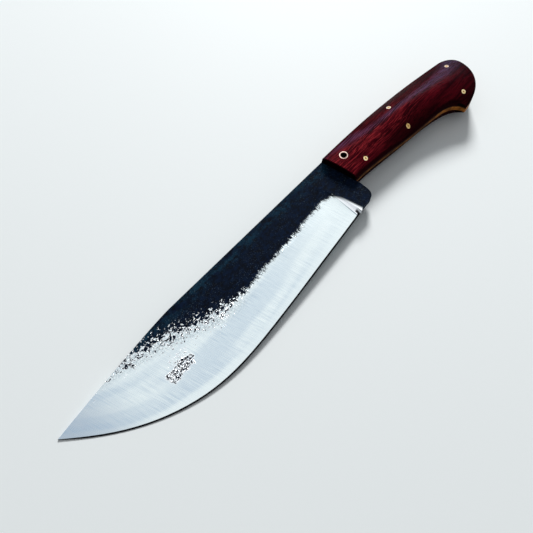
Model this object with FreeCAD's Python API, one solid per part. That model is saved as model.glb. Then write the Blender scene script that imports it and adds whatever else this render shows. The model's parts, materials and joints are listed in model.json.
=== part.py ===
"""Butcher's heavy slicing cleaver: forged blade with a full tang, two wooden scales,
a hollow lanyard tube and five straight pins.

The knife is drawn flat, with X along the spine towards the tip, Y from the spine to the
cutting edge and Z through the thickness.  X = 0 is the front of the scales at the spine.
At the end it is laid on its right side, as it rests on a bench.
"""

import FreeCAD
import Part

import math
import os

from FreeCAD import Placement, Rotation, Vector

# Blade
BLADE_LENGTH = 254.0         # front of the scales to the tip
SPINE_STRAIGHT = 150.0       # the spine runs straight this far, then drops to the tip
TIP_DROP = 10.6              # tip below the straight spine
HEEL_DEPTH = 44.3            # spine to the lower side of the ricasso
HEEL_SETBACK = 5.4           # back of the heel behind the front of the scales
HEEL_CORNER = 6.0            # size of the rounded lower corner of the heel
HEEL_RISE = 0.4              # the lower side of the ricasso rises this much towards the heel
CHOIL = 2.6                  # step down from the grip to the back of the heel
RICASSO_LENGTH = 10.5        # unsharpened stretch in front of the scales
EDGE_STEP = 0.9              # the sharpened edge starts this much below the ricasso
EDGE_SLOPE = 6.9             # degrees, the straight part of the edge against the spine
BELLY_DEPTH = 59.2           # deepest point of the edge
BELLY_REACH = 149.0          # distance of that point from the scales
STOCK = 5.0                  # thickness of the tang and the ricasso
TIP_STOCK = 1.9              # thickness that the distal taper reaches at the tip
TAPER_START = 3.0            # distance of the start of the taper from the scales
SPINE_EASE = 0.5             # rounding of the long corners of the spine

# Grind
GRIND_START = 15.2           # the bevel has its full width this far from the scales
GRIND_LINE = [               # share of the way from there to the tip, depth of the bevel's top
    (0.0, 21.6),
    (0.13, 22.2),
    (0.27, 25.0),
    (0.39, 26.8),
    (0.48, 24.3),
    (0.57, 15.2),
    (0.67, 9.0),
    (0.77, 5.4),
]
PLUNGE_RADIUS = 4.5          # of the wheel's hollow where the bevel starts
EDGE_SHOULDER = 0.70         # thickness behind the edge bevel
EDGE_ANGLE = 19.0            # degrees on each side, the sharpened edge bevel
APEX = 0.08                  # flat left on the very edge

# Handle
HANDLE_LENGTH = 139.8        # front of the scales to the butt
GRIP_STRAIGHT = 45.0         # the back of the grip runs straight this far
NECK_REACH = 13.5            # where the forefinger lies, behind the front of the scales
PALM_REACH = 62.0            # middle of the palm, behind the front of the scales
GRIP_FRONT = 27.4            # depth of the grip at its front
GRIP_NECK = 26.2             # depth of the grip where the forefinger lies
GRIP_PALM = 32.5             # depth of the underside at the middle of the palm
GRIP_LEAN = 0.1              # slope of the underside at the middle of the palm
BUTT_DROP = 7.6              # the back of the grip at the top of the butt
BUTT_ROUND = 12.0            # the butt rounds over this much in front of its end and below its top
HOOK_DEPTH = 47.4            # depth of the tip of the hook
HOOK_LEAD = 30.5             # tip of the hook in front of the end of the butt
HOOK_NOSE = 2.4              # radius of the tip of the hook
HOOK_RISE = 13.8             # how strongly the underside rises from the hook into its throat
FRONT_SLANT = 9.7            # degrees, front of the scales against square
SCALE_FRONT = 7.0            # thickness of a scale at its front
SCALE_PALM = 9.8             # thickness of a scale at the palm swell
SCALE_HOOK = 9.0             # thickness of a scale above the hook
SCALE_BUTT = 5.5             # thickness of a scale at the end of the butt
SIDE_FRONT = 5.0             # height of the flat sides of a scale at its front
SIDE_PALM = 1.6              # the same at the palm, where the grip is almost round
FRONT_EASE = 0.5             # broken top corner of the front of a scale
SCALE_ROUNDING = 3.0         # radius where the crown meets the sides

# Fastenings
TUBE_OUTER = 6.35
TUBE_BORE = 4.3
TUBE_PLACE = (11.2, 10.0)    # behind the front of the scales, below the spine
PIN_DIAMETER = 3.2
PIN_FRONT = (20.1, 22.7)     # behind the front of the scales, below the spine
PIN_PALM_UPPER = (3.1, 7.9)  # behind the middle of the palm, below the spine
PIN_PALM_LOWER = (1.1, 4.9)  # behind the middle of the palm, above its underside
PIN_BUTT_UPPER = (12.4, 7.8)  # in front of the end of the butt, below its top
PIN_BUTT_LOWER = (5.9, 8.4)  # behind the tip of the hook and above it
FIT = 0.03                   # clearance of the tube and the pins in their holes

TOUCH_SHARE = 0.9            # the edge touches the bench this far along the blade

OVER = 30.0                  # how far cutters reach past what they cut
GRIND_OVER = 3.0             # how far the grinding wedges reach past the bevel's two lines
UP = Vector(0, 0, 1)

half_stock = STOCK / 2
half_tip_stock = TIP_STOCK / 2
half_shoulder = EDGE_SHOULDER / 2
slant = math.tan(math.radians(FRONT_SLANT))
hook_reach = HANDLE_LENGTH - HOOK_LEAD

pin_places = {
    "pin_front": PIN_FRONT,
    "pin_palm_upper": (PALM_REACH + PIN_PALM_UPPER[0], PIN_PALM_UPPER[1]),
    "pin_palm_lower": (PALM_REACH + PIN_PALM_LOWER[0], GRIP_PALM - PIN_PALM_LOWER[1]),
    "pin_butt_upper": (HANDLE_LENGTH - PIN_BUTT_UPPER[0], BUTT_DROP + PIN_BUTT_UPPER[1]),
    "pin_butt_lower": (hook_reach + PIN_BUTT_LOWER[0], HOOK_DEPTH - PIN_BUTT_LOWER[1]),
}


def at(x, y, z=0.0):
    return Vector(x, y, z)


def line(start, end):
    return Part.LineSegment(start, end).toShape()


def bezier(*poles):
    curve = Part.BezierCurve()
    curve.setPoles(list(poles))
    return curve.toShape()


def spline(*points):
    curve = Part.BSplineCurve()
    curve.interpolate(Points=list(points))
    return curve.toShape()


def height_at(edge, x):
    """Y of a long edge of the outline at a given X."""
    ruler = line(at(x, -OVER), at(x, BELLY_DEPTH + OVER))
    return edge.distToShape(ruler)[1][0][0].y


# ---- outline of the blade -------------------------------------------------

tip = at(BLADE_LENGTH, TIP_DROP)
belly = at(BELLY_REACH, BELLY_DEPTH)
edge_start = at(RICASSO_LENGTH, HEEL_DEPTH + EDGE_STEP)


def spine_curve():
    start = at(SPINE_STRAIGHT, 0)
    drop = BLADE_LENGTH - SPINE_STRAIGHT
    return bezier(start, start + at(0.15 * drop, 0), tip - at(0.34 * drop, 0.42 * TIP_DROP), tip)


def edge_heel():
    """Sharpened edge from the ricasso to the deepest point of the belly."""
    run = BELLY_REACH - RICASSO_LENGTH
    along = at(0.61 * run, 0.61 * run * math.tan(math.radians(EDGE_SLOPE)))
    return bezier(edge_start, edge_start + along, belly - at(0.17 * run, 0), belly)


def edge_tip():
    """Sharpened edge from the belly up to the tip."""
    run = BLADE_LENGTH - BELLY_REACH
    rise = BELLY_DEPTH - TIP_DROP
    return bezier(belly, belly + at(0.34 * run, 0), tip + at(-0.30 * run, 0.70 * rise), tip)


# ---- outline of the grip, shared by the tang and the scales ---------------

hook_tip = at(-hook_reach, HOOK_DEPTH)
grip_back_end = at(-GRIP_STRAIGHT, 0)
butt_top = at(BUTT_ROUND - HANDLE_LENGTH, BUTT_DROP)
butt_end = at(-HANDLE_LENGTH, BUTT_DROP + BUTT_ROUND)
back_direction = at(-1, 0.14)
grip_palm = at(-PALM_REACH, GRIP_PALM)
grip_nose = at(-slant * GRIP_FRONT, GRIP_FRONT)
palm_direction = at(1, -GRIP_LEAN)


def grip_back():
    run = grip_back_end.x - butt_top.x
    return bezier(grip_back_end, grip_back_end - at(0.35 * run, 0),
                  butt_top - back_direction * 0.35 * run, butt_top)


def butt_upper():
    pull = 0.5 * BUTT_ROUND
    return bezier(butt_top, butt_top + back_direction * pull, butt_end - at(0, pull), butt_end)


def butt_lower():
    """Round end of the handle, down and forward to the tip of the hook."""
    drop = HOOK_DEPTH - butt_end.y
    return bezier(butt_end, butt_end + at(0, 0.5 * drop), hook_tip - at(0.68 * HOOK_LEAD, 1.0), hook_tip)


def grip_underside():
    """From the middle of the palm to the front of the grip."""
    run = grip_nose.x - grip_palm.x
    return bezier(grip_palm, grip_palm + palm_direction * 0.31 * run,
                  at(grip_nose.x - 0.22 * run, GRIP_NECK), grip_nose)


def hook_throat():
    """From the tip of the hook through its throat to the middle of the palm."""
    run = grip_palm.x - hook_tip.x
    return bezier(hook_tip, hook_tip + at(0.16 * HOOK_RISE, -HOOK_RISE),
                  grip_palm - palm_direction * 0.6 * run, grip_palm)


def grip_outline(front):
    """Closed outline of the grip that runs straight on forward to X = front."""
    underside = grip_underside()
    way = underside.tangentAt(underside.LastParameter)
    corner = grip_nose + way * ((front - grip_nose.x) / way.x)
    edges = [grip_back(), butt_upper(), butt_lower(), hook_throat(), underside, line(grip_nose, corner)]
    edges += [line(corner, at(front, 0)), line(at(front, 0), grip_back_end)]
    return Part.Wire(Part.__sortEdges__(edges))


def half_space_in_front():
    """Block in front of the slanted front of the scales."""
    points = [at(slant * OVER, -OVER), at(-slant * 3 * OVER, 3 * OVER)]
    points += [at(BLADE_LENGTH + OVER, 3 * OVER), at(BLADE_LENGTH + OVER, -OVER)]
    wire = Part.makePolygon(points + points[:1])
    wire.translate(Vector(0, 0, -OVER))
    return Part.Face(wire).extrude(UP * 2 * OVER)


# ---- scales ---------------------------------------------------------------

LEAD = 14.0                  # the crown is drawn on this far past both ends of the scales
CROWN_MARGIN = 4.0           # and this far past the rounding on both sides
SECTIONS = 7                 # arches that the crown is lofted through


def crown_section(x, back, under, top, side):
    """Arch across the handle: as high as side at its back and underside, top between them."""
    centre = (back + under) / 2
    half = (under - back) / 2
    reach = half + SCALE_ROUNDING + CROWN_MARGIN
    drop = (top - side) * (reach / half) ** 2
    near_end = at(x, centre - reach, top - drop)
    far_end = at(x, centre + reach, top - drop)
    arch = bezier(near_end, at(x, centre, top + drop), far_end)
    feet = [at(x, far_end.y, -OVER), at(x, near_end.y, -OVER)]
    return Part.Wire([arch, line(far_end, feet[0]), line(*feet), line(feet[1], near_end)])


def crown():
    """Hand-filling upper surface of the left half of the handle, as a solid."""
    end = -HANDLE_LENGTH - LEAD
    hook = hook_tip.x
    throat = hook + 0.6 * (grip_palm.x - hook)
    front_height = half_stock + SCALE_FRONT
    top = spline(at(LEAD, front_height), at(-NECK_REACH, front_height),
                 at(-PALM_REACH, half_stock + SCALE_PALM), at(hook, half_stock + SCALE_HOOK),
                 at(-HANDLE_LENGTH, half_stock + SCALE_BUTT), at(end, 2 * half_stock))
    high_side = half_stock + SIDE_FRONT
    low_side = half_stock + SIDE_PALM
    side = spline(at(LEAD, high_side), at(-NECK_REACH, high_side), at(-PALM_REACH, low_side),
                  at(hook, low_side), at(end, low_side))
    under = spline(at(LEAD, GRIP_FRONT), at(-NECK_REACH, GRIP_NECK), grip_palm,
                   at(throat, height_at(hook_throat(), throat)), hook_tip, at(end, HOOK_DEPTH))
    back = spline(at(LEAD, 0), grip_back_end, at(hook, height_at(grip_back(), hook)),
                  butt_top, at(end, 1.5 * BUTT_DROP))
    sections = []
    for index in range(SECTIONS):
        x = LEAD + (end - LEAD) * index / (SECTIONS - 1)
        sections.append(crown_section(x, *(height_at(guide, x) for guide in (back, under, top, side))))
    return Part.makeLoft(sections, True, False)


def handle_half():
    """Left half of the whole handle, before the tang is let in."""
    block = Part.Face(grip_outline(LEAD / 2)).extrude(UP * OVER)
    nose_edges = [e for e in block.Edges if is_upright(e) and near(e, hook_tip)]
    block = block.makeFillet(HOOK_NOSE, nose_edges)
    shaped = block.common(crown())
    rim = [e for e in shaped.Edges if on_crown_rim(e)]
    return shaped.makeFillet(SCALE_ROUNDING, rim)


def is_upright(edge):
    box = edge.BoundBox
    return box.ZLength > 1.0 and box.XLength < 1e-4 and box.YLength < 1e-4


def near(edge, point):
    return abs(edge.CenterOfMass.x - point.x) < 0.5 and abs(edge.CenterOfMass.y - point.y) < 0.5


def on_crown_rim(edge):
    box = edge.BoundBox
    return box.ZMin > 0 and box.XLength > 1e-3 and not is_upright(edge)


def mirrored(shape):
    return shape.mirror(Vector(0, 0, 0), UP)


def bore(place, diameter):
    centre = at(-place[0], place[1], -OVER)
    return Part.makeCylinder(diameter / 2, 2 * OVER, centre, UP)


def fastening_holes():
    holes = [bore(place, PIN_DIAMETER + 2 * FIT) for place in pin_places.values()]
    return Part.makeCompound(holes + [bore(TUBE_PLACE, TUBE_OUTER + 2 * FIT)])


def left_scale(half):
    tang_space = Part.makeBox(4 * HANDLE_LENGTH, 4 * OVER, half_stock, at(-2 * HANDLE_LENGTH, -OVER))
    blank = half.cut(tang_space).cut(half_space_in_front())
    front = max((f for f in blank.Faces if is_front_face(f)), key=lambda f: f.Area)
    lip = [e for e in front.Edges if is_front_lip(e)]
    return blank.makeChamfer(FRONT_EASE, lip).cut(fastening_holes())


def is_front_face(face):
    if face.Surface.TypeId != "Part::GeomPlane":
        return False
    normal = face.normalAt(0, 0)
    return abs(normal.x) > 0.5 and abs(normal.z) < 1e-6 and abs(normal.y / normal.x - slant) < 1e-3


def is_front_lip(edge):
    return edge.BoundBox.ZMin > half_stock + 0.5 * SCALE_FRONT and edge.Length > GRIP_FRONT / 2


# ---- blade ----------------------------------------------------------------


def blade_outline():
    heel_back = -HEEL_SETBACK
    choil = at(heel_back, GRIP_FRONT + CHOIL)
    front_corner = at(RICASSO_LENGTH - 1.0, HEEL_DEPTH)
    low_corner = at(heel_back + HEEL_CORNER, HEEL_DEPTH - HEEL_RISE)
    high_corner = at(heel_back, HEEL_DEPTH - 1.4 * HEEL_CORNER)
    edges = [line(grip_back_end, at(SPINE_STRAIGHT, 0)), spine_curve(), edge_tip(), edge_heel()]
    edges += [line(edge_start, front_corner), line(front_corner, low_corner)]
    edges.append(bezier(low_corner, low_corner - at(0.7 * HEEL_CORNER, 0.1 * HEEL_CORNER),
                        high_corner + at(0, 0.8 * HEEL_CORNER), high_corner))
    edges += [line(high_corner, choil), line(choil, grip_nose)]
    edges += [grip_underside(), hook_throat(), butt_lower(), butt_upper(), grip_back()]
    return Part.Wire(Part.__sortEdges__(edges))


def taper_profile():
    """Side view of the forging: square tang and ricasso, then the distal taper."""
    back = -HANDLE_LENGTH - OVER
    front = BLADE_LENGTH + OVER
    end = half_thickness(front)
    upper = [at(back, -OVER, half_stock), at(TAPER_START, -OVER, half_stock), at(front, -OVER, end)]
    lower = [at(p.x, p.y, -p.z) for p in reversed(upper)]
    return Part.Face(Part.makePolygon(upper + lower + upper[:1])).extrude(Vector(0, 4 * OVER, 0))


def half_thickness(x):
    run = max(0.0, x - TAPER_START) / (BLADE_LENGTH - TAPER_START)
    return half_stock - (half_stock - half_tip_stock) * run


def blade_blank():
    """Flat forging with its distal taper and eased spine, in two pieces that meet at the scales."""
    forging = Part.Face(blade_outline()).extrude(UP * 2 * OVER)
    forging.translate(UP * -OVER)
    forging = forging.common(taper_profile())
    tang = forging.cut(half_space_in_front())
    blade = forging.common(half_space_in_front())
    return tang, blade.makeFillet(SPINE_EASE, [e for e in blade.Edges if is_spine_corner(e)])


def is_spine_corner(edge):
    box = edge.BoundBox
    flat = box.ZLength < 0.5 * STOCK and abs(box.Center.z) > 0.3 * half_tip_stock
    return flat and box.YMax < 1e-3 and box.XMin > TAPER_START - 0.1


def bevel_section(x, line_top, line_end):
    """Wedge that a wheel takes off at one place, above the line between two points (Y, Z)."""
    slope = (line_top[1] - line_end[1]) / (line_end[0] - line_top[0])
    upper = at(x, line_top[0] - GRIND_OVER, line_top[1] + GRIND_OVER * slope)
    lower = at(x, line_end[0] + GRIND_OVER, line_end[1] - GRIND_OVER * slope)
    points = [upper, lower, at(x, lower.y, OVER), at(x, upper.y, OVER)]
    return Part.makePolygon(points + points[:1])


def edge_depth(x):
    curve = edge_heel() if x < BELLY_REACH else edge_tip()
    return height_at(curve, min(max(x, edge_start.x), tip.x - 0.01))


def spine_depth(x):
    return 0.0 if x < SPINE_STRAIGHT else height_at(spine_curve(), min(x, tip.x - 0.01))


def primary_bevel():
    """Grind from the ricasso to the tip; its upper line climbs until it meets the spine."""
    sharpened = tip.x - GRIND_START
    stations = [(GRIND_START + share * sharpened, depth) for share, depth in GRIND_LINE]
    sections = []
    for x, depth in stations:
        sections.append(bevel_section(x, (depth, half_thickness(x)), (edge_depth(x), half_shoulder)))
    last, last_depth = stations[-1]
    slope = (half_thickness(last) - half_shoulder) / (edge_depth(last) - last_depth)
    for share in (0.87, 0.95, 1.01):
        x = GRIND_START + share * sharpened
        width = edge_depth(x) - spine_depth(x) + 2.0
        top = (spine_depth(x) - 2.0, half_shoulder + slope * width)
        sections.append(bevel_section(x, top, (edge_depth(x), half_shoulder)))
    return Part.makeLoft(sections, True, False)


def plunge():
    """Round hollow that the wheel leaves behind the start of the primary bevel."""
    depth = GRIND_LINE[0][1]
    start = at(GRIND_START, depth, half_thickness(GRIND_START))
    down = at(GRIND_START, edge_depth(GRIND_START), half_shoulder) - start
    down.normalize()
    out = Vector(1, 0, 0).cross(down)
    centre = start - down * depth + out * PLUNGE_RADIUS
    return Part.makeCylinder(PLUNGE_RADIUS, BELLY_DEPTH + depth, centre, down)


def edge_bevel():
    """Narrow sharpened bevel along the whole edge."""
    start = edge_start.x + 1.0
    count = 12
    sections = []
    for step in range(count):
        x = start + (tip.x + 1.0 - start) * step / (count - 1)
        lean = edge_depth(x + 0.2) - edge_depth(x - 0.2)
        slope = math.tan(math.radians(EDGE_ANGLE)) / math.hypot(1.0, lean / 0.4)
        depth = edge_depth(x)
        sections.append(bevel_section(x, (depth - 2.0, APEX / 2 + 2.0 * slope), (depth, APEX / 2)))
    return Part.makeLoft(sections, True, False)


def forged_blade():
    tang, blade = blade_blank()
    for cutter in (primary_bevel(), plunge(), edge_bevel()):
        blade = blade.cut(cutter).cut(mirrored(cutter))
    return tang.fuse(blade).removeSplitter().cut(fastening_holes())


# ---- fastenings -----------------------------------------------------------


def flush(rod, half):
    """Trim a rod through the handle to the surface of both scales."""
    upper = rod.common(half)
    return upper.fuse(mirrored(upper)).removeSplitter()


def lanyard_tube(half):
    return flush(bore(TUBE_PLACE, TUBE_OUTER).cut(bore(TUBE_PLACE, TUBE_BORE)), half)


# ---- the whole knife ------------------------------------------------------


def knife():
    half = handle_half()
    scale = left_scale(half)
    pieces = {
        "blade": forged_blade(),
        "scale_left": scale,
        "scale_right": mirrored(scale),
        "lanyard_tube": lanyard_tube(half),
    }
    for name, place in pin_places.items():
        pieces[name] = flush(bore(place, PIN_DIAMETER), half)
    return pieces


def laid_down():
    """Turn that lays the knife on its right side, on the palm swell and the edge near the tip."""
    palm = at(-PALM_REACH, GRIP_PALM / 2 + 0.8, -half_stock - SCALE_PALM)
    reach = TOUCH_SHARE * BLADE_LENGTH
    bevel_width = (half_shoulder - APEX / 2) / math.tan(math.radians(EDGE_ANGLE))
    touch = at(reach, edge_depth(reach) - 1.3 * bevel_width, -half_shoulder)
    along = at(1, edge_depth(reach + 0.5) - edge_depth(reach - 0.5))
    up = (touch - palm).cross(along)
    return Rotation(up if up.z > 0 else -up, UP)


def origin_below(solids):
    """Shift that puts the origin under the middle of the knife, at the bench."""
    points = [p for solid in solids for p in solid.tessellate(0.05)[0]]
    spans = [(min(values), max(values)) for values in zip(*((p.x, p.y, p.z) for p in points))]
    return Vector(-sum(spans[0]) / 2, -sum(spans[1]) / 2, -spans[2][0])


def main():
    os.makedirs("parts", exist_ok=True)
    pieces = knife()
    turn = Placement(Vector(), laid_down())
    for solid in pieces.values():
        solid.transformShape(turn.toMatrix())
    shift = origin_below(pieces.values())
    for name, solid in pieces.items():
        solid.translate(shift)
        solid.exportStep("parts/" + name + ".step")
        print(name, solid.isValid(), len(solid.Solids), round(solid.Volume, 1))
    print("turned by", turn.Rotation.Q, "moved by", shift)


main()
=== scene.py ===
"""Dressing of the butcher's cleaver knife: forged steel, dark red wood, brass pins, bench and light."""

import json
import math

import bpy
from mathutils import Matrix, Vector


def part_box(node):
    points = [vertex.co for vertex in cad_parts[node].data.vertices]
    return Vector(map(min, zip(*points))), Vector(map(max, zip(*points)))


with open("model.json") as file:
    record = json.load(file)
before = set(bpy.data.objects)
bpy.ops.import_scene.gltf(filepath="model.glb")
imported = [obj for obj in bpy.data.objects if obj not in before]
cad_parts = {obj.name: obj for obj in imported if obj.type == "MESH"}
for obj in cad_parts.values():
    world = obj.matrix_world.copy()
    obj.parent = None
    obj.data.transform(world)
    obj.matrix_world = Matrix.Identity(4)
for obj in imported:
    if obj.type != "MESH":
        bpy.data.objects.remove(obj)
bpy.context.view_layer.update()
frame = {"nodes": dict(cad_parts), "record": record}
nodes = frame["nodes"]


# ---- how the knife lies --------------------------------------------------------------------
# The knife lies on its right side, on the swell of the grip and the edge near the tip, so its
# own axes are slightly turned against the bench.  The lanyard hole goes square through it and
# gives that turn.  Finishes are placed in millimetres from the front of the scales and the spine.

TUBE_BEHIND_FRONT = 0.0112
TUBE_BELOW_SPINE = 0.0100
MILLIMETRE = 0.001

mounts = {mount["name"]: mount for mount in frame["record"]["mounts"]}
tube_axis = Vector(mounts["lanyard_hole"]["axis"])
tube_centre = Vector(mounts["lanyard_hole"]["pos_m"])
lie = Vector((0, 0, 1)).rotation_difference(tube_axis)
scale_front = tube_centre - lie @ Vector((-TUBE_BEHIND_FRONT, TUBE_BELOW_SPINE, 0))


def feed(tree, value, socket):
    """Joins another node's output to a socket, or writes a plain value on it."""
    if isinstance(value, bpy.types.NodeSocket):
        tree.links.new(value, socket)
    else:
        socket.default_value = value


def place_node(tree, kind, settings=None, **values):
    """Adds a shader node, sets its options and feeds its named inputs."""
    made = tree.nodes.new("ShaderNode" + kind)
    for name, value in (settings or {}).items():
        setattr(made, name, value)
    for name, value in values.items():
        feed(tree, value, made.inputs[name.replace("_", " ")])
    return made


def maths(tree, operation, *values, clamp=False):
    """One maths node, fed in order."""
    made = place_node(tree, "Math", {"operation": operation, "use_clamp": clamp})
    for value, socket in zip(values, made.inputs):
        feed(tree, value, socket)
    return made.outputs[0]


def new_group(name, inputs, outputs):
    """Empty node group with the named sockets; gives the tree and its two ends."""
    group = bpy.data.node_groups.new(name, "ShaderNodeTree")
    for title, kind in inputs:
        group.interface.new_socket(title, in_out="INPUT", socket_type="NodeSocket" + kind)
    for title, kind in outputs:
        group.interface.new_socket(title, in_out="OUTPUT", socket_type="NodeSocket" + kind)
    return group, group.nodes.new("NodeGroupInput").outputs, group.nodes.new("NodeGroupOutput").inputs


def build_knife_place():
    """Millimetres along the spine, below it and out of the middle, and which way the spot faces."""
    group, _, out = new_group("knife_place", [], [
        ("Place", "Vector"), ("Along", "Float"), ("Depth", "Float"), ("Out", "Float"),
        ("Forward", "Float"), ("Downward", "Float"), ("Flatness", "Float"),
    ])
    spot = place_node(group, "TexCoord")
    turn = lie.to_euler()
    own = place_node(group, "Mapping", {"vector_type": "TEXTURE"}, Vector=spot.outputs["Object"],
                     Location=scale_front, Rotation=turn, Scale=[MILLIMETRE] * 3)
    facing = place_node(group, "Mapping", {"vector_type": "TEXTURE"},
                        Vector=spot.outputs["Normal"], Rotation=turn)
    parts = place_node(group, "SeparateXYZ", Vector=own.outputs[0]).outputs
    normal = place_node(group, "SeparateXYZ", Vector=facing.outputs[0]).outputs
    feed(group, own.outputs[0], out["Place"])
    for part, title in zip(parts, ("Along", "Depth", "Out")):
        feed(group, part, out[title])
    feed(group, normal["X"], out["Forward"])
    feed(group, normal["Y"], out["Downward"])
    feed(group, maths(group, "ABSOLUTE", normal["Z"]), out["Flatness"])
    return group


knife_place = build_knife_place()


# ---- blade -----------------------------------------------------------------------------------
# One forging, left black from the fire on its flats and tang.  The primary bevel is ground bright
# across the blade, and towards the tip the wheel only skims the pitted scale, so it thins out in
# flecks.  Its tang shows as a warm brown band between the scales.

def tone(red, green, blue):
    """A colour given 0 to 255, as the shader wants it."""
    parts = [value / 255 for value in (red, green, blue)]
    return tuple(p / 12.92 if p < 0.04 else ((p + 0.055) / 1.055) ** 2.4 for p in parts) + (1.0,)


# where the finishes change: millimetres ahead of the scales, below the spine or in from the edge;
# a pair says where a change begins and where it is complete
BLADE_SPAN = 260.0             # the two lines below are drawn over this length and this depth
DEPTH_SPAN = 64.0
CRUST_RIM = [                  # distance ahead, and depth of the lower rim of the black
    (0, 21.0), (30, 21.6), (55, 24.0), (85, 25.6), (112, 27.6), (135, 24.5),
    (152, 18.5), (168, 12.5), (188, 6.5), (206, 1.5), (260, -9.0),
]
CUTTING_EDGE = [               # the same for the cutting edge itself
    (0, 44.0), (60, 51.2), (110, 57.2), (149, 59.2), (185, 54.6), (215, 43.5), (240, 25.0), (260, 6.0),
]
STRAY_CRUST = [                # two stray patches: the ends of each, how far it spreads, how bare it is
    (166.5, 32.4, 182.0, 33.4, 3.6, 0.48),
    (166.0, 26.6, 177.0, 27.0, 2.6, 0.62),
]
WORN = (98.0, 140.0)           # the rim of the black breaks up into flecks
PLUNGE_AT = 15.2               # the bevel ends here, and the wheel's hollow runs back to the heel
PLUNGE_TOP = 21.6
BRIGHT_BACK = 14.6             # where the bright steel ends at the top of the hollow
BRIGHT_SPREAD = 5.1            # and how much further back it reaches at the cutting edge
BRIGHT_CORNER = 15.0           # how widely its upper corner is rounded
TIP_DULLER = (200.0, 250.0)
GRIND_DEEPER = (20.0, 120.0)
LIT_STRIP = (7.5, 4.0)         # along the edge the bevel is painted lighter, as a lit strip
TEAL_STRIP = (11.0, 3.0)       # along the spine the black turns teal
EDGE_BEVEL = (4.5, 3.0)
EDGE_FRONT = (11.0, 13.0)
FRONT_SLANT = 0.171            # the front of the scales leans back by this share of its depth
TANG_FRONT = (0.1, 0.5)        # behind the front of the scales
HOOK = (-78.0, -96.0)
HOOK_LESS_SHADE = 1.6             # there the painted seam shade is narrower, so the brown shows over this much more on either side
TANG_OFF_MIDDLE = 0.4
SEAM_SHADE_RIM = (0.15, 0.70)

# grain sizes in millimetres along, down and through the blade, and how far the rim swings with them
LUMP, LUMP_SWING, LUMP_SWING_WORN = (5.5, 4.5, 9.0), 6.0, 12.0
FLECK, FLECK_SWING, FLECK_SWING_WORN = (2.0, 1.8, 6.0), 2.0, 46.0
FEATHER, FEATHER_SWING = (0.5, 2.4, 9.0), 9.0
STRAY_SPECK, STRAY_SWING = (1.3, 0.9, 6.0), 7.0
STRAY_SHARPNESS = 26.0         # how hard the rims of its specks are
GRIND_LEAN = 0.22              # the grinding lines lean by this share
GRIND_LINE = (0.26, 18.0, 30.0)
GRIND_SCRATCH = (1.3, 7.0, 30.0)
GRIND_BAND = (120.0, 13.0, 60.0)
MOTTLE = (3.2, 2.4, 5.0)
CLOUD = (15.0, 7.0, 12.0)
PIT = (0.75, 0.75, 2.0)
TANG_GRAIN = (5.0, 5.0, 1.2)

CARBON_BLACK = tone(3, 8, 19)
OXIDE_NAVY = tone(9, 24, 46)
SPINE_TEAL = tone(15, 46, 64)
# grey of thin crust; also the painted shade line where the hollow meets the bevel
CRUST_GREY_AND_STEP_SHADE = tone(92, 112, 126)
BRIGHT_STEEL = tone(238, 247, 246)
BRIGHT_TIP = tone(186, 198, 208)
GRIND_SHADE = tone(160, 184, 206)
# painted highlight on the hollow and round the flecks
GLINT = tone(250, 253, 255)
# painted dark reflection on the sharpened edge
PAINTED_EDGE_DARK = tone(20, 20, 23)
TANG_BROWN = tone(178, 112, 46)
TANG_DARK = tone(88, 52, 22)
# painted shade in the two seams of the tang
PAINTED_SEAM_SHADE = tone(24, 12, 10)


def times(tree, first, second):
    return maths(tree, "MULTIPLY", first, second)


def minus(tree, first, second):
    return maths(tree, "SUBTRACT", first, second)


def most(tree, first, second):
    return maths(tree, "MAXIMUM", first, second)


def scaled(tree, value, factor, start):
    """value * factor + start"""
    return maths(tree, "MULTIPLY_ADD", value, factor, start)


def rest_of(tree, share):
    """What a share leaves of one."""
    return minus(tree, 1.0, share)


def fade(tree, value, start, end):
    """Goes smoothly from 0 to 1 while value goes from start to end."""
    made = place_node(tree, "MapRange", {"interpolation_type": "SMOOTHSTEP"},
                      Value=value, From_Min=start, From_Max=end)
    return made.outputs["Result"]


def blend(tree, factor, first, second):
    """Colour between first and second."""
    made = place_node(tree, "Mix", {"data_type": "RGBA"})
    for value, socket in ((factor, made.inputs[0]), (first, made.inputs[6]), (second, made.inputs[7])):
        feed(tree, value, socket)
    return made.outputs[2]


def noise(tree, place, grain, detail=3.0, roughness=0.55, distortion=0.0):
    """Noise round 0.5 whose grains have a size for each direction, in millimetres."""
    sized = place_node(tree, "VectorMath", {"operation": "DIVIDE"})
    feed(tree, place, sized.inputs[0])
    feed(tree, grain, sized.inputs[1])
    made = place_node(tree, "TexNoise", Vector=sized.outputs[0], Scale=1.0, Detail=detail,
                      Roughness=roughness, Distortion=distortion)
    return made.outputs["Fac"]


def swung(tree, value, reach):
    """Noise as a distance that swings both ways."""
    return times(tree, minus(tree, value, 0.5), reach)


def use_group(tree, group, **values):
    """Places a node group, feeds its named inputs and gives its outputs."""
    made = tree.nodes.new("ShaderNodeGroup")
    made.node_tree = group
    for name, value in values.items():
        feed(tree, value, made.inputs[name])
    return made.outputs


def new_material(name):
    """Empty material; gives its tree and its Principled shader too."""
    material = bpy.data.materials.new(name)
    material.use_nodes = True
    tree = material.node_tree
    return material, tree, tree.nodes["Principled BSDF"].inputs


def finish_with(node, material):
    """Gives a carried-over piece its finish."""
    node.data.materials.clear()
    node.data.materials.append(material)


def depth_curve(tree, along, points):
    """A depth that changes along the blade, drawn through given points."""
    share = maths(tree, "DIVIDE", along, BLADE_SPAN, clamp=True)
    made = place_node(tree, "FloatCurve", Value=share)
    curve = made.mapping.curves[0]
    made.mapping.use_clip = False
    for x, y in points[1:-1]:
        curve.points.new(x / BLADE_SPAN, y / DEPTH_SPAN)
    for point, (x, y) in zip(curve.points, points):
        point.location = (x / BLADE_SPAN, y / DEPTH_SPAN)
    made.mapping.update()
    return times(tree, made.outputs[0], DEPTH_SPAN)


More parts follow.
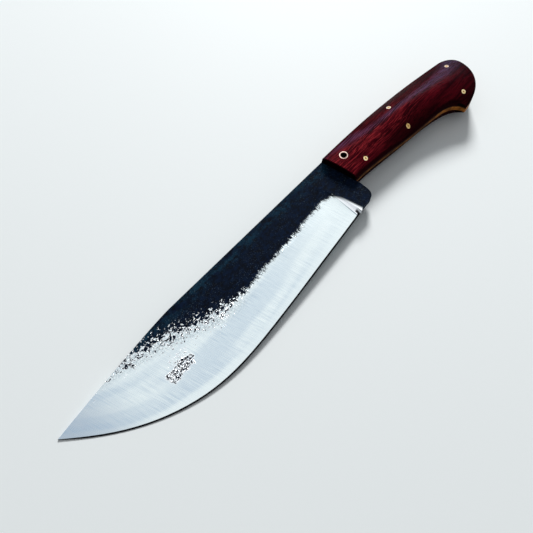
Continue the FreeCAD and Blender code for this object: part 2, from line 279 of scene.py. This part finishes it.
def distance_to_line(tree, along, depth, x1, y1, x2, y2):
    """Distance from the line between two points of the flat, in millimetres."""
    length_squared = (x2 - x1) ** 2 + (y2 - y1) ** 2
    ahead = times(tree, minus(tree, along, x1), (x2 - x1) / length_squared)
    beside = times(tree, minus(tree, depth, y1), (y2 - y1) / length_squared)
    share = maths(tree, "ADD", ahead, beside, clamp=True)
    off_x = minus(tree, along, scaled(tree, share, x2 - x1, x1))
    off_y = minus(tree, depth, scaled(tree, share, y2 - y1, y1))
    return maths(tree, "SQRT", scaled(tree, off_x, off_x, times(tree, off_y, off_y)))


def build_crust_left():
    """Where forge scale is left: 1 in the black, 0 on ground steel, broken up along its rim."""
    group, given, out = new_group(
        "crust_left", [("Place", "Vector"), ("Along", "Float"), ("Depth", "Float")],
        [("Crust", "Float"), ("Thin", "Float"), ("Halo", "Float"), ("Hollow", "Float"), ("Step", "Float")])
    place, along, depth = given["Place"], given["Along"], given["Depth"]
    above = minus(group, depth_curve(group, along, CRUST_RIM), depth)
    below_top = most(group, minus(group, depth, PLUNGE_TOP), 0.0)
    opened = maths(group, "DIVIDE", below_top, CUTTING_EDGE[0][1] - PLUNGE_TOP)
    behind = minus(group, scaled(group, opened, -BRIGHT_SPREAD, BRIGHT_BACK), along)
    inside = maths(group, "SMOOTH_MAX", above, behind, BRIGHT_CORNER)

    # the rim is ragged with lumps, with feathered streaks across the blade and with fine flecks
    wear = fade(group, along, *WORN)
    lumps = noise(group, place, LUMP)
    streaks = noise(group, place, FEATHER, roughness=0.65)
    flecks = noise(group, place, FLECK, detail=2.5, distortion=0.9)
    flecked = swung(group, flecks, scaled(group, wear, FLECK_SWING_WORN, FLECK_SWING))
    lumpy = swung(group, lumps, scaled(group, wear, LUMP_SWING_WORN, LUMP_SWING))
    feathered = swung(group, streaks, FEATHER_SWING)
    ragged = maths(group, "ADD", maths(group, "ADD", flecked, lumpy), feathered)
    at_top = fade(group, above, -6.0, -1.0)      # but clean where the hollow bounds the black
    ragged = times(group, ragged, most(group, at_top, wear))
    covered = maths(group, "ADD", inside, ragged)

    # the stray patches are thin, so they show as specks with grey dust round them
    specks = noise(group, place, STRAY_SPECK, roughness=0.6, distortion=0.9)
    dusty = fade(group, inside, -10.0, -3.0)
    for *ends, spread, bareness in STRAY_CRUST:
        reach = maths(group, "ADD", swung(group, lumps, STRAY_SWING), spread)
        within = minus(group, reach, distance_to_line(group, along, depth, *ends))
        dusty = most(group, dusty, times(group, fade(group, within, -0.5, 1.0), 1.2 - bareness))
        speckled = times(group, minus(group, specks, bareness), STRAY_SHARPNESS)
        patch = maths(group, "MINIMUM", times(group, within, 5.0), speckled)
        covered = most(group, covered, patch)
    soft = scaled(group, wear, -0.8, 1.2)
    feed(group, fade(group, covered, times(group, soft, -1.0), soft), out["Crust"])
    # Halo: the rim round the black, painted white as a highlight
    feed(group, times(group, fade(group, covered, -2.6, -0.8), wear), out["Halo"])
    thin = times(group, dusty, fade(group, specks, 0.44, 0.58))
    feed(group, times(group, thin, wear), out["Thin"])

    # the wheel's hollow is painted white as a highlight, with a thin painted shade line where it meets the
    # bevel
    below_black = fade(group, times(group, behind, -1.0), -0.2, 0.3)
    hollow = times(group, below_black, fade(group, along, PLUNGE_AT, PLUNGE_AT - 0.6))
    feed(group, times(group, hollow, fade(group, opened, 0.05, 0.3)), out["Hollow"])
    off_step = maths(group, "ABSOLUTE", minus(group, along, PLUNGE_AT))
    step = times(group, fade(group, off_step, 0.4, 0.15), fade(group, opened, 0.1, 0.9))
    feed(group, step, out["Step"])
    return group


def build_ground_steel():
    """Colour of the bevel and the depth of its grinding lines, which run across the blade."""
    group, given, out = new_group(
        "ground_steel", [("Along", "Float"), ("Depth", "Float")],
        [("Colour", "Color"), ("Lines", "Float"), ("To Edge", "Float")])
    along, depth = given["Along"], given["Depth"]
    to_edge = minus(group, depth_curve(group, along, CUTTING_EDGE), depth)
    slant = scaled(group, depth, GRIND_LEAN, along)
    across = place_node(group, "CombineXYZ", X=slant, Y=to_edge).outputs[0]
    lines = noise(group, across, GRIND_LINE, detail=2.0, roughness=0.6)
    scratches = noise(group, across, GRIND_SCRATCH, roughness=0.6)
    bands = noise(group, across, GRIND_BAND, detail=1.0, roughness=0.5)
    shade = maths(group, "ADD", times(group, fade(group, lines, 0.62, 0.36), 0.34),
                  times(group, fade(group, scratches, 0.58, 0.40), 0.07))
    shade = maths(group, "ADD", shade, times(group, fade(group, bands, 0.60, 0.40), 0.30))
    shade = times(group, shade, scaled(group, fade(group, along, *GRIND_DEEPER), 0.52, 0.33))
    # painted highlight: the bevel is lighter along the edge
    lit_strip = times(group, fade(group, to_edge, *LIT_STRIP), 0.6)
    shade = times(group, shade, rest_of(group, lit_strip))
    colour = blend(group, fade(group, along, *TIP_DULLER), BRIGHT_STEEL, BRIGHT_TIP)
    feed(group, blend(group, shade, colour, GRIND_SHADE), out["Colour"])
    feed(group, lines, out["Lines"])
    feed(group, to_edge, out["To Edge"])
    return group


def build_forge_scale():
    """Colour and relief of the black crust: navy oxide, teal along the spine, and grey specks."""
    group, given, out = new_group("forge_scale", [("Place", "Vector"), ("Depth", "Float")],
                                  [("Colour", "Color"), ("Relief", "Float")])
    place, depth = given["Place"], given["Depth"]
    mottle = noise(group, place, MOTTLE, detail=5.0, roughness=0.68, distortion=0.4)
    clouds = noise(group, place, CLOUD)
    pits = noise(group, place, PIT, roughness=0.65)
    colour = blend(group, fade(group, mottle, 0.36, 0.66), CARBON_BLACK, OXIDE_NAVY)
    strip = times(group, fade(group, depth, *TEAL_STRIP), fade(group, clouds, 0.36, 0.60))
    colour = blend(group, times(group, strip, fade(group, mottle, 0.34, 0.60)), colour, SPINE_TEAL)
    thin = times(group, fade(group, pits, 0.585, 0.70), fade(group, clouds, 0.30, 0.62))
    feed(group, blend(group, times(group, thin, 0.6), colour, CRUST_GREY_AND_STEP_SHADE), out["Colour"])
    feed(group, scaled(group, pits, 0.45, mottle), out["Relief"])
    return group


crust_left = build_crust_left()
ground_steel = build_ground_steel()
forge_scale = build_forge_scale()


def forged_steel():
    """Black crust over ground steel, with painted highlights, painted shade and a painted dark edge, and
    the brown rim of the tang.
    """
    material, tree, shader = new_material("forged_steel")
    spot = use_group(tree, knife_place)
    along, depth, place = spot["Along"], spot["Depth"], spot["Place"]
    zones = use_group(tree, crust_left, Place=place, Along=along, Depth=depth)
    bevel = use_group(tree, ground_steel, Along=along, Depth=depth)
    scale = use_group(tree, forge_scale, Place=place, Depth=depth)
    black = zones["Crust"]
    bare = rest_of(tree, black)

    # bright bevel, the hollow and the rims round the flecks painted white as highlights, the painted shade
    # line at the hollow, and the crust over them
    bright = blend(tree, times(tree, zones["Thin"], 0.5), bevel["Colour"], CRUST_GREY_AND_STEP_SHADE)
    bright = blend(tree, most(tree, zones["Hollow"], zones["Halo"]), bright, GLINT)
    bright = blend(tree, times(tree, zones["Step"], 0.85), bright, CRUST_GREY_AND_STEP_SHADE)
    colour = blend(tree, black, bright, scale["Colour"])

    # the sharpened edge is painted dark, as a dark reflection
    steep = fade(tree, spot["Flatness"], 0.985, 0.95)
    sharpened = times(tree, fade(tree, bevel["To Edge"], *EDGE_BEVEL), fade(tree, along, *EDGE_FRONT))
    colour = blend(tree, times(tree, steep, sharpened), colour, PAINTED_EDGE_DARK)

    # the rim of the tang is brown, with painted shade in its two seams, which is narrower in the hook
    behind_front = scaled(tree, depth, -FRONT_SLANT, times(tree, along, -1.0))
    tang = fade(tree, behind_front, *TANG_FRONT)
    rim_grain = noise(tree, place, TANG_GRAIN, roughness=0.6)
    brown = blend(tree, fade(tree, rim_grain, 0.3, 0.7), TANG_BROWN, TANG_DARK)
    off_middle = maths(tree, "ABSOLUTE", maths(tree, "ADD", spot["Out"], TANG_OFF_MIDDLE))
    off_middle = minus(tree, off_middle, times(tree, fade(tree, along, *HOOK), HOOK_LESS_SHADE))
    seam_shade = times(tree, fade(tree, off_middle, *SEAM_SHADE_RIM), 0.9)
    feed(tree, blend(tree, tang, colour, blend(tree, seam_shade, brown, PAINTED_SEAM_SHADE)), shader["Base Color"])

    keen_metal = times(tree, bare, rest_of(tree, tang))
    rim_metal = times(tree, tang, rest_of(tree, seam_shade))
    feed(tree, most(tree, keen_metal, rim_metal), shader["Metallic"])
    rough = place_node(tree, "Mix", {"data_type": "FLOAT"})
    feed(tree, black, rough.inputs[0])
    feed(tree, scaled(tree, bevel["Lines"], 0.18, 0.17), rough.inputs[2])
    feed(tree, scaled(tree, scale["Relief"], 0.25, 0.45), rough.inputs[3])
    feed(tree, rough.outputs[0], shader["Roughness"])
    shader["Specular IOR Level"].default_value = 0.03

    # relief: the pitted crust stands over the ground steel
    crust = times(tree, black, scaled(tree, scale["Relief"], 0.55, 0.35))
    grind = times(tree, bare, times(tree, bevel["Lines"], 0.12))
    bump = place_node(tree, "Bump", Height=maths(tree, "ADD", crust, grind), Strength=0.45, Distance=0.0003)
    feed(tree, bump.outputs[0], shader["Normal"])
    return material


finish_with(nodes["blade"], forged_steel())


# ---- scales ----------------------------------------------------------------------------------
# Two slabs of dark red hardwood, pinned and glued to the tang and shaped with it.  The grain runs
# along the grip in fine darker and lighter lines, and the wood is oiled and buffed to a soft gloss.

SWAY, SWAY_REACH = (48.0, 22.0, 30.0), 12.0      # over these distances the grain bends this much
BROAD_BAND = (60.0, 4.0, 5.0)
FINE_LINE = (13.0, 0.47, 0.8)
PORE = (5.0, 0.26, 0.4)
HEART_DEPTH, HEART_WIDTH = 14.0, (15.0, 4.0)     # the lighter heart: its middle, and its half width
HEART_FRONT = (-118.0, -30.0)
BUTT = (-95.0, -136.0)
WOOD_RED = tone(84, 12, 22)
WOOD_LIGHT = tone(150, 42, 48)
WOOD_DARK = tone(34, 4, 9)
# painted shade: the butt, both roundings and the front end faces
WOOD_PAINTED_SHADE = tone(12, 3, 5)
# painted sheen: a purple-blue reflection in streaks on the rounding
WOOD_PAINTED_SHEEN = tone(72, 60, 94)


def build_wood_grain():
    """Grain along the grip: broad bands, fine lines and pores that sway together."""
    group, given, out = new_group("wood_grain", [("Place", "Vector")],
                                  [("Broad", "Float"), ("Lines", "Float"), ("Pores", "Float")])
    sway = noise(group, given["Place"], SWAY, detail=2.0, roughness=0.5)
    bend = place_node(group, "CombineXYZ", Y=times(group, sway, SWAY_REACH))
    flowing = place_node(group, "VectorMath", {"operation": "ADD"})
    feed(group, given["Place"], flowing.inputs[0])
    feed(group, bend.outputs[0], flowing.inputs[1])
    grain = flowing.outputs[0]
    feed(group, noise(group, grain, BROAD_BAND), out["Broad"])
    feed(group, noise(group, grain, FINE_LINE, roughness=0.62, distortion=0.3), out["Lines"])
    feed(group, noise(group, grain, PORE, detail=2.0), out["Pores"])
    return group


wood_grain = build_wood_grain()


def oiled_wood():
    """Red wood with its grain, painted darker as shade at the butt, the roundings and the front ends, under
    a soft gloss.
    """
    material, tree, shader = new_material("oiled_red_wood")
    spot = use_group(tree, knife_place)
    along, depth = spot["Along"], spot["Depth"]
    grain = use_group(tree, wood_grain, Place=spot["Place"])
    lines, pores = grain["Lines"], grain["Pores"]
    colour = blend(tree, fade(tree, grain["Broad"], 0.30, 0.62), WOOD_DARK, WOOD_RED)

    # the lighter heart of the slab shows along the middle of the grip, most of all at its front
    off_heart = maths(tree, "ABSOLUTE", minus(tree, depth, HEART_DEPTH))
    heart = times(tree, fade(tree, along, *HEART_FRONT), fade(tree, off_heart, *HEART_WIDTH))
    colour = blend(tree, times(tree, fade(tree, lines, 0.48, 0.63), heart), colour, WOOD_LIGHT)
    colour = blend(tree, times(tree, fade(tree, lines, 0.50, 0.36), 0.85), colour, WOOD_DARK)
    colour = blend(tree, times(tree, fade(tree, pores, 0.54, 0.66), 0.75), colour, WOOD_DARK)

    # painted shade darkens the butt, both roundings and the end grain at the front
    butt = times(tree, fade(tree, along, *BUTT), 0.6)
    lower = fade(tree, spot["Downward"], 0.30, 0.80)
    upper = fade(tree, spot["Downward"], -0.05, -0.60)
    ends = fade(tree, spot["Forward"], 0.45, 0.80)
    dark = most(tree, butt, most(tree, times(tree, lower, 0.85), ends))
    dark = most(tree, dark, times(tree, upper, 0.6))
    colour = blend(tree, dark, colour, WOOD_PAINTED_SHADE)

    # a purple-blue sheen, a painted reflection, in streaks where the side begins to round over
    begins = fade(tree, spot["Downward"], -0.12, -0.24)
    ends_above = fade(tree, spot["Downward"], -0.44, -0.30)
    streaks = times(tree, fade(tree, lines, 0.42, 0.58), 0.5)
    painted_sheen = times(tree, times(tree, begins, ends_above), streaks)
    feed(tree, blend(tree, painted_sheen, colour, WOOD_PAINTED_SHEEN), shader["Base Color"])

    feed(tree, scaled(tree, lower, 0.5, scaled(tree, lines, 0.30, 0.08)), shader["Roughness"])
    shader["Specular IOR Level"].default_value = 0.006
    shader["Specular Tint"].default_value = (0.86, 0.44, 1.0, 1.0)
    relief = scaled(tree, pores, -0.5, times(tree, lines, 0.7))
    bump = place_node(tree, "Bump", Height=relief, Strength=0.7, Distance=0.0002)
    feed(tree, bump.outputs[0], shader["Normal"])
    return material


wood = oiled_wood()
for side in ("scale_left", "scale_right"):
    finish_with(nodes[side], wood)


# ---- lanyard tube ----------------------------------------------------------------------------
# A short length of thin-walled tube pressed through both scales and the tang, sanded flush.  The
# sanding has left its end bright, with a dark line of glue round it; its bore and the inner edge of its end
# are painted dark as shade.

TUBE_WALL = (2.50, 2.70, 2.88, 3.04)     # radii: the lit ring starts, is full, begins to end, is gone
TARNISH = (1.5, 1.5, 1.5)                # grain sizes, as for the blade
SCRATCH = (3.0, 0.12, 2.0)
# a dark line of glue round the tube, and the painted shade in its bore
GLUE_AND_SHADE_BROWN = tone(26, 12, 10)


def sanded_metal(name, colour, worn, roughness, centre, lit=None, dimple=None):
    """Soft metal sanded flush with the wood: tiny scratches, tarnish, and walls painted dark as shade."""
    material, tree, shader = new_material(name)
    spot = use_group(tree, knife_place)
    off_x = minus(tree, spot["Along"], centre[0])
    off_y = minus(tree, spot["Depth"], centre[1])
    radius = maths(tree, "SQRT", scaled(tree, off_x, off_x, times(tree, off_y, off_y)))
    tarnish = noise(tree, spot["Place"], TARNISH, roughness=0.6)
    scratch = noise(tree, spot["Place"], SCRATCH, detail=2.0, roughness=0.6)
    metal = blend(tree, fade(tree, tarnish, 0.35, 0.7), colour, worn)
    # painted shade on the walls and, in the tube, round the bore; glue round its outside
    walls = fade(tree, spot["Flatness"], 0.55, 0.35)
    if lit:
        starts, full, begins_to_end, gone = lit
        ring = times(tree, fade(tree, radius, starts, full), fade(tree, radius, gone, begins_to_end))
        walls = most(tree, walls, times(tree, rest_of(tree, ring), 0.8))
    if dimple:
        full, gone, dark = dimple
        metal = blend(tree, fade(tree, radius, gone, full), metal, dark)
    feed(tree, blend(tree, walls, metal, GLUE_AND_SHADE_BROWN), shader["Base Color"])
    feed(tree, scaled(tree, scratch, 0.2, roughness), shader["Roughness"])
    shader["Metallic"].default_value = 0.8
    bump = place_node(tree, "Bump", Height=scratch, Strength=0.2, Distance=0.0001)
    feed(tree, bump.outputs[0], shader["Normal"])
    return material


tube_middle = (-TUBE_BEHIND_FRONT / MILLIMETRE, TUBE_BELOW_SPINE / MILLIMETRE)
tube_metal = sanded_metal("tube_metal", tone(212, 186, 174), tone(168, 138, 126), 0.34,
                          tube_middle, lit=TUBE_WALL)
finish_with(nodes["lanyard_tube"], tube_metal)


# ---- pins ------------------------------------------------------------------------------------
# Five plain rods through the handle, cut off and sanded flush with the crown of the scales.  The
# lower three are bright brass; the two near the spine are rougher and are painted darker and greyer, as
# shade.

PIN_DIMPLE = (0.35, 0.85, tone(150, 104, 44))    # radii where its dark middle is full and gone
pins = {                       # fresh colour, tarnish, and how dull each one is
    "pin_front": (tone(252, 236, 190), tone(228, 192, 120), 0.28),
    "pin_palm_upper": (tone(190, 180, 162), tone(146, 128, 104), 0.50),
    "pin_palm_lower": (tone(226, 194, 132), tone(180, 138, 74), 0.34),
    "pin_butt_upper": (tone(150, 138, 126), tone(116, 100, 86), 0.55),
    "pin_butt_lower": (tone(250, 236, 196), tone(220, 188, 120), 0.28),
}
for name, (colour, worn, dullness) in pins.items():
    low, high = (Vector(corner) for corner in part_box(name))
    middle = lie.inverted() @ ((low + high) / 2 - scale_front) / MILLIMETRE
    brass = sanded_metal(name + "_brass", colour, worn, dullness, middle[:2], dimple=PIN_DIMPLE)
    finish_with(nodes[name], brass)


# ---- bench -----------------------------------------------------------------------------------
# A plain pale round bench top, larger than the view, with no corner to show at the horizon from
# any side.

BENCH_REACH = 3.0
BENCH_SIDES = 96
BENCH_WHITE = tone(241, 246, 246)


def bench_top():
    """Flat disc at the height the knife rests on."""
    mesh = bpy.data.meshes.new("bench")
    turns = [math.tau * step / BENCH_SIDES for step in range(BENCH_SIDES)]
    corners = [(BENCH_REACH * math.cos(turn), BENCH_REACH * math.sin(turn), 0) for turn in turns]
    mesh.from_pydata(corners, [], [range(BENCH_SIDES)])
    bench = bpy.data.objects.new("bench", mesh)
    bpy.context.scene.collection.objects.link(bench)
    material, _, shader = new_material("pale_bench")
    shader["Base Color"].default_value = BENCH_WHITE
    shader["Roughness"].default_value = 0.55
    shader["Specular IOR Level"].default_value = 0.2
    mesh.materials.append(material)
    return bench


bench_top()


# ---- light -----------------------------------------------------------------------------------
# A low soft window on the spine side, a large overhead panel and an even pale room.  The room
# looks brighter than it lights, so that the steel stays bright and nothing on the bench burns out.

ROOM_LIGHT = 0.28              # how strongly the room lights the bench and the knife
ROOM_SEEN = 0.77               # how bright its walls look, straight on and in polished metal
ROOM_COLOUR = (0.93, 0.96, 1.0, 1.0)


def area_light(name, direction, distance, size, power):
    """Square lamp that looks at the knife from a direction; metres and watts."""
    data = bpy.data.lights.new(name, "AREA")
    data.size = size
    data.energy = power
    lamp = bpy.data.objects.new(name, data)
    way = Vector(direction).normalized()
    lamp.location = way * distance
    lamp.rotation_mode = "QUATERNION"
    lamp.rotation_quaternion = way.to_track_quat("Z", "Y")
    bpy.context.scene.collection.objects.link(lamp)


area_light("window", (-0.80, -0.60, 0.62), distance=3.6, size=0.9, power=144.0)
area_light("overhead", (-0.20, -0.14, 1.0), distance=1.5, size=1.5, power=1.1)

world = bpy.data.worlds.new("room")
world.use_nodes = True
room = world.node_tree
ray = place_node(room, "LightPath").outputs
seen = most(room, ray["Is Camera Ray"], ray["Is Glossy Ray"])
seen = most(room, seen, ray["Is Transmission Ray"])
backdrop = room.nodes["Background"].inputs
backdrop["Color"].default_value = ROOM_COLOUR
feed(room, scaled(room, seen, ROOM_SEEN - ROOM_LIGHT, ROOM_LIGHT), backdrop["Strength"])
bpy.context.scene.world = world
bpy.context.scene.view_settings.view_transform = "Standard"


# ---- camera ----------------------------------------------------------------------------------
# Above the tip and the cutting edge, looking down at about a third of a right angle off plumb,
# so that the knife runs from the lower left to the upper right.

CAMERA_PLACE = (0.2410, 0.1650, 0.4645)
CAMERA_RIGHT = Vector((-0.660, 0.751, 0.028))
CAMERA_BACK = Vector((0.398, 0.318, 0.861))
CAMERA_LENS = 54.94

back = CAMERA_BACK.normalized()
up = back.cross(CAMERA_RIGHT).normalized()
right = up.cross(back)
camera = bpy.data.objects.new("camera", bpy.data.cameras.new("camera"))
camera.data.lens = CAMERA_LENS
camera.data.sensor_width = 36.0
camera.data.clip_start = 0.01
turn = Matrix((right, up, back)).transposed().to_4x4()
camera.matrix_world = Matrix.Translation(CAMERA_PLACE) @ turn
bpy.context.scene.collection.objects.link(camera)
bpy.context.scene.camera = camera
